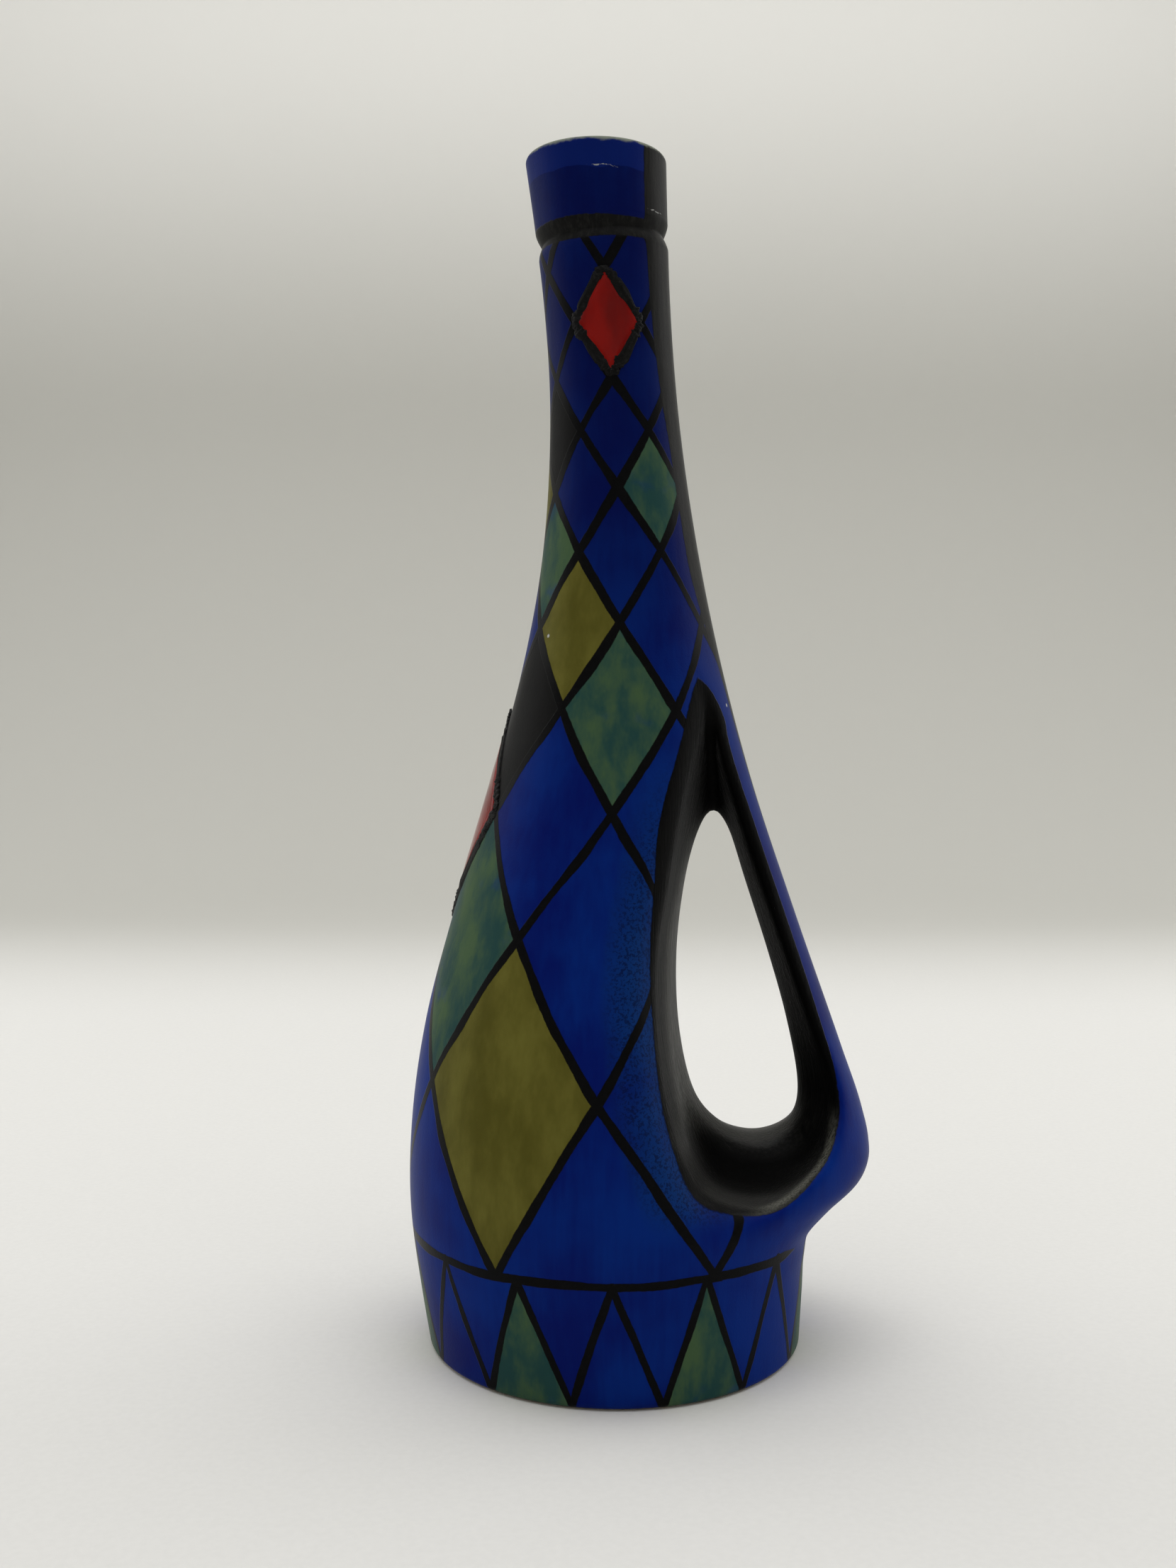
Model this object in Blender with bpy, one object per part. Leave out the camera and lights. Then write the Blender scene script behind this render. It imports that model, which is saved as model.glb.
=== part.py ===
"""Bottle-shaped ceramic jug with a pierced handle, built from the members that a potter joins.

The jug stands on the XY plane with the centre of its foot at the origin. The handle is on the
+X side and the pouring lip leans to -X. Sizes are in millimetres and become metres in the mesh.
"""
import math

import bmesh
import bpy
import numpy as np
from mathutils import Vector

MM = 0.001

# Driving dimensions of the outside
HEIGHT = 300.0
FOOT_ROUNDING = 1.2
RIM_ROUNDING = 1.5
GROOVE_HEIGHT = 279.5
GROOVE_HALF_WIDTH = 4.2
GROOVE_DEPTH = 1.3
NOSE_SPREAD = math.radians(35.0)

# Side outlines and half depth of the outside, as (height, distance) pairs that a smooth curve joins
LEFT_SIDE = (
    (0, -47.5), (14, -49.8), (36, -52.5), (60, -51.8), (82, -48.5), (110, -41.2), (140, -32.3),
    (170, -24.0), (198, -18.7), (222, -16.7), (242, -16.5), (262, -17.8), (284, -20.4), (300, -22.7),
)
RIGHT_SIDE = (
    (0, 47.6), (14, 48.4), (24, 49.0), (30, 50.4), (36, 56.4), (42, 63.3), (47, 65.5), (52, 65.4),
    (60, 63.6), (75, 58.5), (110, 46.2), (145, 34.6), (175, 26.7), (205, 20.6), (235, 16.3),
    (262, 14.1), (284, 13.3), (300, 12.9),
)
HALF_DEPTH = (
    (0, 47.6), (14, 49.1), (40, 51.0), (56, 49.8), (75, 46.6), (100, 41.2), (138, 32.9), (165, 26.8),
    (187, 22.1), (205, 19.3), (228, 16.8), (248, 15.9), (262, 15.95), (284, 16.85), (300, 17.8),
)

# The hollow: its middle and its half widths, which leave a wall of four to five millimetres
HOLLOW_MIDDLE = (
    (7, -2.0), (24, -3.0), (34, -7.0), (46, -15.0), (70, -16.5), (100, -15.0), (135, -9.0), (160, -4.0),
    (185, 0.8), (215, 1.0), (245, -0.7), (275, -2.9), (300, -4.9),
)
HOLLOW_HALF_WIDTH = (
    (7, 41.0), (24, 42.5), (34, 39.0), (46, 31.5), (70, 29.0), (100, 24.0), (135, 19.0), (160, 18.0),
    (185, 16.5), (215, 13.6), (245, 11.9), (275, 12.2), (300, 13.9),
)
HOLLOW_HALF_DEPTH = (
    (7, 41.0), (24, 43.0), (34, 43.0), (46, 40.0), (70, 35.5), (100, 31.0), (135, 24.5), (160, 20.5),
    (185, 17.0), (215, 13.6), (245, 11.9), (275, 12.2), (300, 13.9),
)

# The finger hole: its outline at the waist in the XZ plane, and the same points where the flare
# has come FLARE_DEPTH towards the front or back
FLARE_DEPTH = 17.0
WAIST_ROUNDING = 4.0
WAIST_OUTLINE = (
    (25.2, 135.6), (29.3, 131.0), (33.9, 117.0), (39.5, 99.6), (44.2, 83.0), (47.3, 67.0), (46.6, 58.0),
    (42.2, 53.4), (35.2, 52.0), (27.0, 55.2), (20.5, 63.5), (16.7, 80.0), (16.0, 99.6), (18.1, 118.0),
    (21.5, 130.5),
)
FLARED_OUTLINE = (
    (22.1, 171.0), (25.3, 156.0), (34.2, 128.5), (43.0, 103.0), (50.3, 83.5), (57.0, 70.1), (53.9, 61.6),
    (47.9, 53.9), (36.6, 48.9), (24.5, 52.0), (17.5, 62.0), (13.3, 79.0), (12.0, 100.0), (14.3, 121.0),
    (18.6, 148.0),
)

# The scoop in the ledge below the finger hole: how deep it is, the depths in front of the waist where
# it starts, reaches its floor and fades, the heights on the waist between which it dies out, how much
# nearer to the waist it lies on the elbow's side in front, and how far the ledge falls there at the back
SCOOP_DEPTH = 5.0
SCOOP_START = 7.0
SCOOP_FLOOR = 20.0
SCOOP_END = 42.0
SCOOP_END_SHARE = 0.4
SCOOP_FULL_BELOW = 55.0
SCOOP_NONE_ABOVE = 72.0
SCOOP_NARROWING = 0.3
SCOOP_WIDE_TO = 36.0
SCOOP_NARROW_FROM = 46.0
BACK_FALL = 3.0

# Where the members meet
JOINT_GAP = 0.3
SLAB_TOP = 7.0
BODY_SEAM = 96.0
NECK_SEAM = 178.0
ARM_SLOPE = 0.343
ARM_TOP = (25.2, 134.6)
ARM_FOOT = (44.0, 60.0)
ELBOW_CORNER = (52.6, 24.0)
ELBOW_TOP = (36.0, 53.5)

HOLE_MIDDLE = (36.0, 88.0)

# Fineness of the facets: points round a ring, and points between two corners of the finger hole
AROUND = 52
HOLLOW_AROUND = 32
OUTLINE_STEPS = 3
SHARP_ANGLE = math.radians(40.0)

# Heights of the rings of points, and depths of the finger hole's rings in front of its waist
FOOT_RINGS = (0.0, 0.2, 0.6, FOOT_ROUNDING, 8.0, 16.0)
ELBOW_RINGS = np.arange(24.0, 62.0, 4.0)
UPPER_RINGS = np.linspace(62.0, GROOVE_HEIGHT - GROOVE_HALF_WIDTH, 24)
COLLAR_RINGS = (GROOVE_HEIGHT, GROOVE_HEIGHT + GROOVE_HALF_WIDTH, 292.0)
RIM_RINGS = (HEIGHT - RIM_ROUNDING, HEIGHT - 0.7, HEIGHT - 0.2, HEIGHT)
BELLY_RINGS = np.linspace(14.0, 46.0, 5)
CHANNEL_RINGS = np.linspace(58.0, HEIGHT, 18)
HOLE_RINGS = (1.5, 3.5, 6.5, 10.0, 15.0, SCOOP_FLOOR, 31.0, 60.0)

# How far the regions and the hollow's open end run past the jug
CLEAR = 130.0
HANDLE_CLEAR = 78.0
OPEN_END = 5.0

# Colour and roughness of each finish
BLUE_GLAZE = ((0.004, 0.020, 0.150), 0.62)
BLACK_GLAZE = ((0.008, 0.008, 0.009), 0.5)
BARE_CLAY = ((0.42, 0.30, 0.20), 0.85)

PART_COLLECTION = "ceramic_jug"
CUTTER_COLLECTION = "ceramic_jug_cutters"


def smooth_curve(knots, height):
    """Value at a height on the smooth curve through (height, value) knots."""
    heights, values = np.array(knots, dtype=float).T
    slopes = np.gradient(values, heights)
    height = min(max(height, heights[0]), heights[-1])
    k = min(max(int(np.searchsorted(heights, height)) - 1, 0), len(heights) - 2)
    span = heights[k + 1] - heights[k]
    t = (height - heights[k]) / span
    rise = t * t * (3.0 - 2.0 * t)
    bend = t * (1.0 - t) * span * ((1.0 - t) * slopes[k] - t * slopes[k + 1])
    return values[k] * (1.0 - rise) + values[k + 1] * rise + bend


def smooth_step(low, high, value):
    """A smooth climb from 0 at low to 1 at high."""
    t = np.clip((value - low) / (high - low), 0.0, 1.0)
    return t * t * (3.0 - 2.0 * t)


def quarter_round(distance, radius):
    """How far a rounded edge draws in at a distance from the end face."""
    if distance >= radius:
        return 0.0
    return radius - math.sqrt(radius * radius - (radius - distance) ** 2)


def drawn_in(height):
    """How far the foot's rounding, the groove and the rim's rounding draw the outside in."""
    groove = GROOVE_DEPTH * max(0.0, 1.0 - abs(height - GROOVE_HEIGHT) / GROOVE_HALF_WIDTH)
    foot = quarter_round(height, FOOT_ROUNDING)
    rim = quarter_round(HEIGHT - height, RIM_ROUNDING)
    return groove + foot + rim


def outside_ring(height):
    """Points round the outside at a height: a circle that a nose carries out to the handle."""
    left = smooth_curve(LEFT_SIDE, height)
    right = smooth_curve(RIGHT_SIDE, height)
    half_depth = smooth_curve(HALF_DEPTH, height)
    nose = right - left - 2.0 * half_depth
    ring = []
    for step in range(AROUND):
        angle = 2.0 * math.pi * (step + 0.5) / AROUND - math.pi
        reach = half_depth + nose * math.exp(-((angle / NOSE_SPREAD) ** 2)) - drawn_in(height)
        x = left + half_depth + reach * math.cos(angle)
        ring.append((x, reach * math.sin(angle), height))
    return ring


def hollow_ring(height):
    """Points round the hollow at a height."""
    middle = smooth_curve(HOLLOW_MIDDLE, height)
    half_width = smooth_curve(HOLLOW_HALF_WIDTH, height)
    half_depth = smooth_curve(HOLLOW_HALF_DEPTH, height)
    ring = []
    for step in range(HOLLOW_AROUND):
        angle = 2.0 * math.pi * step / HOLLOW_AROUND
        ring.append((middle + half_width * math.cos(angle), half_depth * math.sin(angle), height))
    return ring


def scoop(away):
    """How deep the ledge below the finger hole is scooped at distances from the waist."""
    fade = 1.0 - (1.0 - SCOOP_END_SHARE) * smooth_step(SCOOP_FLOOR, SCOOP_END, away)
    return SCOOP_DEPTH * smooth_step(SCOOP_START, SCOOP_FLOOR, away) * fade


def hole_ring(y):
    """The finger hole's outline at a depth y, a closed smooth curve that widens away from the waist."""
    flare = (math.hypot(y, WAIST_ROUNDING) - WAIST_ROUNDING) / FLARE_DEPTH
    waist = np.array(WAIST_OUTLINE)
    corners = waist + flare * (np.array(FLARED_OUTLINE) - waist)
    elbow_side = smooth_step(SCOOP_WIDE_TO, SCOOP_NARROW_FROM, waist[:, 0])
    if y < 0.0:
        drop = scoop(-y / (1.0 - SCOOP_NARROWING * elbow_side))
    else:
        drop = scoop(y) + BACK_FALL * flare * elbow_side
    corners[:, 1] -= drop * smooth_step(SCOOP_NONE_ABOVE, SCOOP_FULL_BELOW, waist[:, 1])
    before = np.roll(corners, 1, axis=0)
    after = np.roll(corners, -1, axis=0)
    beyond = np.roll(corners, -2, axis=0)
    ring = []
    for a, b, c, d in zip(before, corners, after, beyond):
        for step in range(OUTLINE_STEPS):
            t = step / OUTLINE_STEPS
            rise = t * t * (3.0 - 2.0 * t)
            bend = t * (1.0 - t) * ((1.0 - t) * (c - a) - t * (d - b)) / 2.0
            x, z = b * (1.0 - rise) + c * rise + bend
            ring.append((x, y, z))
    return ring


def new_collection(name):
    collection = bpy.data.collections.new(name)
    bpy.context.scene.collection.children.link(collection)
    return collection


def loft(name, rings, collection):
    """Closed solid through rings of points in millimetres, with a flat face at each end."""
    bm = bmesh.new()
    rows = [[bm.verts.new(Vector(point) * MM) for point in ring] for ring in rings]
    for lower, upper in zip(rows, rows[1:]):
        for i in range(len(lower)):
            j = (i + 1) % len(lower)
            bm.faces.new((lower[i], lower[j], upper[j], upper[i]))
    bm.faces.new(rows[0])
    bm.faces.new(rows[-1])
    bmesh.ops.recalc_face_normals(bm, faces=bm.faces)
    mesh = bpy.data.meshes.new(name)
    bm.to_mesh(mesh)
    bm.free()
    solid = bpy.data.objects.new(name, mesh)
    collection.objects.link(solid)
    return solid


def prism(name, outline, collection):
    """Solid with an outline in the XZ plane that runs clear past the front and the back."""
    front = [(x, -CLEAR, z) for x, z in outline]
    back = [(x, CLEAR, z) for x, z in outline]
    return loft(name, (front, back), collection)


def slab(name, low, high, collection):
    """Solid that holds everything between two heights."""
    outline = ((-CLEAR, low), (CLEAR, low), (CLEAR, high), (-CLEAR, high))
    return prism(name, outline, collection)


def boolean(solid, cutter, operation):
    modifier = solid.modifiers.new(cutter.name, "BOOLEAN")
    modifier.operation = operation
    modifier.object = cutter
    modifier.solver = "EXACT"


def hide(cutter):
    cutter.hide_render = True
    cutter.display_type = "WIRE"


def evaluated_mesh(solid, name):
    graph = bpy.context.evaluated_depsgraph_get()
    mesh = bpy.data.meshes.new_from_object(solid.evaluated_get(graph))
    mesh.name = name
    return mesh


def make_material(name, colour, roughness):
    material = bpy.data.materials.new(name)
    material.use_nodes = True
    shader = material.node_tree.nodes["Principled BSDF"]
    shader.inputs["Base Color"].default_value = (*colour, 1.0)
    shader.inputs["Roughness"].default_value = roughness
    shader.inputs["Metallic"].default_value = 0.0
    return material


def make_jug_wall(cutters):
    """The whole fired wall: the outside less the hollow and less the finger hole."""
    heights = (*FOOT_RINGS, *ELBOW_RINGS, *UPPER_RINGS, *COLLAR_RINGS, *RIM_RINGS)
    outside = loft("outside", [outside_ring(height) for height in heights], cutters)
    floor = SLAB_TOP + JOINT_GAP / 2.0
    rings = [hollow_ring(height) for height in (floor, *BELLY_RINGS, *CHANNEL_RINGS)]
    rings.append([(x, y, HEIGHT + OPEN_END) for x, y, _ in rings[-1]])
    hollow = loft("hollow", rings, cutters)
    depths = [-depth for depth in reversed(HOLE_RINGS)] + [0.0, *HOLE_RINGS]
    hole = loft("finger_hole", [hole_ring(y) for y in depths], cutters)
    boolean(outside, hollow, "DIFFERENCE")
    boolean(outside, hole, "DIFFERENCE")
    wall = evaluated_mesh(outside, "jug_wall")
    for cutter in (outside, hollow, hole):
        bpy.data.objects.remove(cutter)
    return wall


def handle_regions(gap, suffix, cutters):
    """Regions of the handle's arm and elbow, grown by a gap into their neighbours."""
    across = Vector((1.0, ARM_SLOPE)).normalized()
    along = Vector((-across.y, across.x))
    top = Vector(ARM_TOP) + along * gap
    foot = Vector(ARM_FOOT) - along * gap
    reach = across * HANDLE_CLEAR
    arm_outline = (foot, foot + reach, top + reach, top, HOLE_MIDDLE)
    arm = prism("arm_region" + suffix, arm_outline, cutters)

    corner = Vector(ELBOW_CORNER)
    rising = (Vector(ELBOW_TOP) - corner).normalized()
    outward = Vector((rising.y, -rising.x))
    lower = corner - outward * gap
    upper = Vector(ELBOW_TOP) - outward * gap
    ceiling = Vector(ARM_FOOT) - along * (JOINT_GAP - gap)
    elbow_outline = (lower, lower + Vector((HANDLE_CLEAR, 0.0)), ceiling + reach, ceiling, upper)
    elbow = prism("elbow_region" + suffix, elbow_outline, cutters)
    return arm, elbow


def make_member(name, wall, material, parts, keep, take_away=()):
    """One member: the wall clipped to the regions it keeps, less the regions of its neighbours."""
    member = bpy.data.objects.new(name, wall.copy())
    member.data.name = name
    member.data.materials.clear()
    member.data.materials.append(material)
    parts.objects.link(member)
    boolean(member, keep, "INTERSECT")
    for region in take_away:
        boolean(member, region, "DIFFERENCE")
    member.data.shade_smooth()
    member.data.set_sharp_from_angle(angle=SHARP_ANGLE)
    return member


def build():
    for old in list(bpy.data.objects):
        bpy.data.objects.remove(old)
    parts = new_collection(PART_COLLECTION)
    cutters = new_collection(CUTTER_COLLECTION)
    wall = make_jug_wall(cutters)

    blue = make_material("matte_blue_glaze", *BLUE_GLAZE)
    black = make_material("satin_black_glaze", *BLACK_GLAZE)
    clay = make_material("bare_clay", *BARE_CLAY)

    seams = (-CLEAR, SLAB_TOP, BODY_SEAM, NECK_SEAM, GROOVE_HEIGHT, HEIGHT + CLEAR)
    names = ("base_slab", "lower_body", "upper_body", "neck", "rim_collar")
    layers = {}
    for name, low, high in zip(names, seams, seams[1:]):
        layers[name] = slab(name + "_region", low + JOINT_GAP / 2.0, high - JOINT_GAP / 2.0, cutters)
    arm, elbow = handle_regions(0.0, "", cutters)
    arm_room, elbow_room = handle_regions(JOINT_GAP, "_room", cutters)

    make_member("base_slab", wall, clay, parts, layers["base_slab"])
    make_member("lower_body", wall, blue, parts, layers["lower_body"], (arm_room, elbow_room))
    make_member("upper_body", wall, blue, parts, layers["upper_body"], (arm_room,))
    make_member("neck", wall, blue, parts, layers["neck"])
    make_member("rim_collar", wall, blue, parts, layers["rim_collar"])
    make_member("handle_arm", wall, black, parts, arm)
    make_member("handle_elbow", wall, black, parts, elbow)
    for cutter in cutters.objects:
        hide(cutter)


build()
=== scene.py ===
"""Finish of the bottle-shaped ceramic jug: fired skin, painted glaze, enamel, light and camera."""
import itertools
import math

import bmesh
import bpy
import numpy as np
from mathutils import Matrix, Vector, noise


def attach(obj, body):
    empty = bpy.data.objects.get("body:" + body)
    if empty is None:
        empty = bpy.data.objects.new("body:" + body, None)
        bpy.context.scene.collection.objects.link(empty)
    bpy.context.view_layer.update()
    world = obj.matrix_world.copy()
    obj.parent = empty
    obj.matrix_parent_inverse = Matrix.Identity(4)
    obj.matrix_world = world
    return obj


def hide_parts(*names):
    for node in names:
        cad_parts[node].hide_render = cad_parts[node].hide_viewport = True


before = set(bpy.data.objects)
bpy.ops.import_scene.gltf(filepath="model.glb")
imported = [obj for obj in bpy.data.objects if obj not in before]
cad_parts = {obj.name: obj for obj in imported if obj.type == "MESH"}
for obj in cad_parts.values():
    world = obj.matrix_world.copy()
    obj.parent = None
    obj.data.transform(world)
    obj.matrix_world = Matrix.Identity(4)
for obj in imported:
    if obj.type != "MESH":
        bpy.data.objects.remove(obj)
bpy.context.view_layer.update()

MM = 0.001

# Outside of the jug in millimetres, as in the solids: (height, distance) pairs on smooth curves
HEIGHT = 300.0
FOOT_ROUNDING = 1.2
GROOVE_HEIGHT = 279.5
GROOVE_MIDDLE = 278.9
GROOVE_TILT = 1.1
GROOVE_DEPTH = 1.3
NOSE_SPREAD = math.radians(35.0)
LEFT_SIDE = (
    (0, -47.5), (14, -49.8), (36, -52.5), (60, -51.8), (82, -48.5), (110, -41.2), (140, -32.3),
    (170, -24), (198, -18.7), (222, -16.7), (242, -16.5), (262, -17.8), (284, -20.4), (300, -22.7),
)
RIGHT_SIDE = (
    (0, 47.6), (14, 48.4), (24, 49), (30, 50.4), (36, 56.4), (42, 63.3), (47, 65.5), (52, 65.4),
    (60, 63.6), (75, 58.5), (110, 46.2), (145, 34.6), (175, 26.7), (205, 20.6), (235, 16.3),
    (262, 14.1), (284, 13.3), (300, 12.9),
)
HALF_DEPTH = (
    (0, 47.6), (14, 49.1), (40, 51), (56, 49.8), (75, 46.6), (100, 41.2), (138, 32.9), (165, 26.8),
    (187, 22.1), (205, 19.3), (228, 16.8), (248, 15.9), (262, 15.95), (284, 16.85), (300, 17.8),
)

# The hollow inside: (height, middle, half width, half depth)
HOLLOW = (
    (7, -2, 41, 41), (24, -3, 42.5, 43), (34, -7, 39, 43), (46, -15, 31.5, 40), (70, -16.5, 29, 35.5),
    (100, -15, 24, 31), (135, -9, 19, 24.5), (160, -4, 18, 20.5), (185, 0.8, 16.5, 17),
    (215, 1, 13.6, 13.6), (245, -0.7, 11.9, 11.9), (275, -2.9, 12.2, 12.2), (300, -4.9, 13.9, 13.9),
)

# The finger hole: its outline at the waist, and its outline at a full flare to the front or back
FLARE_DEPTH = 17.0
WAIST_ROUNDING = 4.0
WAIST_OUTLINE = (
    (25.2, 135.6), (29.3, 131), (33.9, 117), (39.5, 99.6), (44.2, 83), (47.3, 67), (46.6, 58),
    (42.2, 53.4), (35.2, 52), (27, 55.2), (20.5, 63.5), (16.7, 80), (16, 99.6), (18.1, 118),
    (21.5, 130.5),
)
FLARED_OUTLINE = (
    (22.1, 171), (25.3, 156), (34.2, 128.5), (43, 103), (50.3, 83.5), (57, 70.1), (53.9, 61.6),
    (47.9, 53.9), (36.6, 48.9), (24.5, 52), (17.5, 62), (13.3, 79), (12, 100), (14.3, 121), (18.6, 148),
)
OUTLINE_STEPS = 10
HOLE_MIDDLE = (36.0, 88.0)
HOLE_LEFT = -12.0
HOLE_LOW = 26.0
HOLE_HIGH = 184.0

# The scoop in the ledge under the finger hole, by distance from the waist. Towards the elbow it is
# narrower at the front, and the back of the ledge falls further
SCOOP_DEPTH = 5.0
SCOOP_START = 7.0
SCOOP_FLOOR = 20.0
SCOOP_END = 42.0
SCOOP_END_SHARE = 0.4
SCOOP_FULL_BELOW = 55.0
SCOOP_NONE_ABOVE = 72.0
SCOOP_NARROWING = 0.3
SCOOP_WIDE_TO = 36.0
SCOOP_NARROW_FROM = 46.0
BACK_FALL = 3.0

# Where the members meet: heights, the arm's slope and (x, z) points
SLAB_TOP = 7.0
BODY_SEAM = 96.0
NECK_SEAM = 178.0
ARM_SLOPE = 0.343
ARM_TOP = (25.2, 134.6)
ARM_FOOT = (44.0, 60.0)
ELBOW_CORNER = (52.6, 24.0)
ELBOW_TOP = (36.0, 53.5)

# Rounding of the fired edges, greater on the body's side of the finger hole and below the shoulder
ARM_EDGE = 3.2
BODY_EDGE = 8.0
BODY_EDGE_ACROSS = (42.0, 22.0)
BODY_EDGE_UP = (150.0, 110.0)

# The block of samples that the skin is drawn from, and how far the skin runs on past its end seams
SKIN_STEP = 1.0
SKIN_ACROSS = (-57.0, 70.0)
SKIN_DEEP = (0.0, 56.0)
SKIN_UP = (-2.0, NECK_SEAM + 8.0)
SKIN_OVERLAP = 3.0
LEAST_SLOPE = 0.3
LEAST_SQUARE = 0.05
SETTLE_ROUNDS = 5
FAR_OFF = 12.0

# Camera of the photograph: a pinhole with its focal length in pixels of a 1659 x 2212 picture
PICTURE_HEIGHT = 2212.0
FOCAL_PIXELS = 2200.0
SENSOR_HEIGHT = 24.0
CAMERA_PLACE = (-6.8, -400.0, 159.5)
CAMERA_PITCH = math.radians(2.45)


def smooth_curve(knots, at):
    """Values at some heights on the smooth curve through (height, value) knots."""
    heights, values = np.array(knots, dtype=float).T
    slopes = np.gradient(values, heights)
    at = np.clip(at, heights[0], heights[-1])
    k = np.clip(np.searchsorted(heights, at) - 1, 0, len(heights) - 2)
    span = heights[k + 1] - heights[k]
    t = (at - heights[k]) / span
    rise = t * t * (3.0 - 2.0 * t)
    bend = t * (1.0 - t) * span * ((1.0 - t) * slopes[k] - t * slopes[k + 1])
    return values[k] * (1.0 - rise) + values[k + 1] * rise + bend


def smooth_step(low, high, value):
    """A smooth climb from 0 at low to 1 at high, or a fall where low is the greater."""
    t = np.clip((value - low) / (high - low), 0.0, 1.0)
    return t * t * (3.0 - 2.0 * t)


def axis_at(z):
    """Distance of the body's own axis from the foot's axis."""
    return smooth_curve(LEFT_SIDE, z) + smooth_curve(HALF_DEPTH, z)


def outside_reach(angle, z):
    """Distance of the outside from the body's axis."""
    half_depth = smooth_curve(HALF_DEPTH, z)
    nose = smooth_curve(RIGHT_SIDE, z) - smooth_curve(LEFT_SIDE, z) - 2.0 * half_depth
    return half_depth + nose * np.exp(-((angle / NOSE_SPREAD) ** 2))


def outside_field(x, y, z):
    """How far places lie outside the jug, measured from its axis, and negative in it."""
    across = x - axis_at(z)
    return np.hypot(across, y) - outside_reach(np.arctan2(y, across), z)


def hollow_curves(z):
    """Middle, half width and half depth of the hollow at some heights."""
    rows = np.array(HOLLOW)
    return [smooth_curve(rows[:, (0, column)], z) for column in (1, 2, 3)]


def hollow_field(x, y, z):
    """How far places lie outside the hollow, and negative in it."""
    middle, half_width, half_depth = hollow_curves(z)
    scaled = np.hypot((x - middle) / half_width, y / half_depth)
    return (scaled - 1.0) * np.minimum(half_width, half_depth)


def scoop(away):
    """How far the ledge below the finger hole is scooped down at distances from the waist."""
    fade = 1.0 - (1.0 - SCOOP_END_SHARE) * smooth_step(SCOOP_FLOOR, SCOOP_END, away)
    return SCOOP_DEPTH * smooth_step(SCOOP_START, SCOOP_FLOOR, away) * fade


def hole_outline(y):
    """The finger hole's outline at a depth y, as a closed row of (x, z) points."""
    flare = (math.hypot(y, WAIST_ROUNDING) - WAIST_ROUNDING) / FLARE_DEPTH
    waist = np.array(WAIST_OUTLINE)
    b = waist + flare * (np.array(FLARED_OUTLINE) - waist)
    elbow_side = smooth_step(SCOOP_WIDE_TO, SCOOP_NARROW_FROM, waist[:, 0])
    if y < 0.0:
        drop = scoop(-y / (1.0 - SCOOP_NARROWING * elbow_side))
    else:
        drop = scoop(y) + BACK_FALL * flare * elbow_side
    b[:, 1] -= drop * smooth_step(SCOOP_NONE_ABOVE, SCOOP_FULL_BELOW, waist[:, 1])
    a, c, d = np.roll(b, 1, 0), np.roll(b, -1, 0), np.roll(b, -2, 0)
    t = (np.arange(OUTLINE_STEPS) / OUTLINE_STEPS)[None, :, None]
    rise = t * t * (3.0 - 2.0 * t)
    bend = t * (1.0 - t) * ((1.0 - t) * (c - a)[:, None] - t * (d - b)[:, None]) / 2.0
    return (b[:, None] * (1.0 - rise) + c[:, None] * rise + bend).reshape(-1, 2)


def outline_distance(x, z, outline):
    """Distance to a closed outline in the XZ plane, negative inside it."""
    nearest = np.full(x.shape, np.inf)
    inside = np.zeros(x.shape, bool)
    for (ax, az), (bx, bz) in zip(outline, np.roll(outline, -1, 0)):
        ex, ez = bx - ax, bz - az
        wx, wz = x - ax, z - az
        t = np.clip((wx * ex + wz * ez) / (ex * ex + ez * ez), 0.0, 1.0)
        np.minimum(nearest, (wx - t * ex) ** 2 + (wz - t * ez) ** 2, out=nearest)
        if ez != 0.0:
            inside ^= ((az > z) != (bz > z)) & (wx < wz * ex / ez)
    return np.where(inside, -1.0, 1.0) * np.sqrt(nearest)


def as_distance(field):
    """Scales a field so that it measures distance near its surface."""
    slope = np.sqrt(sum(part * part for part in np.gradient(field, SKIN_STEP)))
    return field / np.maximum(slope, LEAST_SLOPE)


def rounded_greater(a, b, rounding):
    """The greater of two fields, with the edge between them rounded."""
    return np.maximum(a, b) + np.maximum(rounding - np.abs(a - b), 0.0) ** 2 / (4.0 * rounding)


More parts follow.
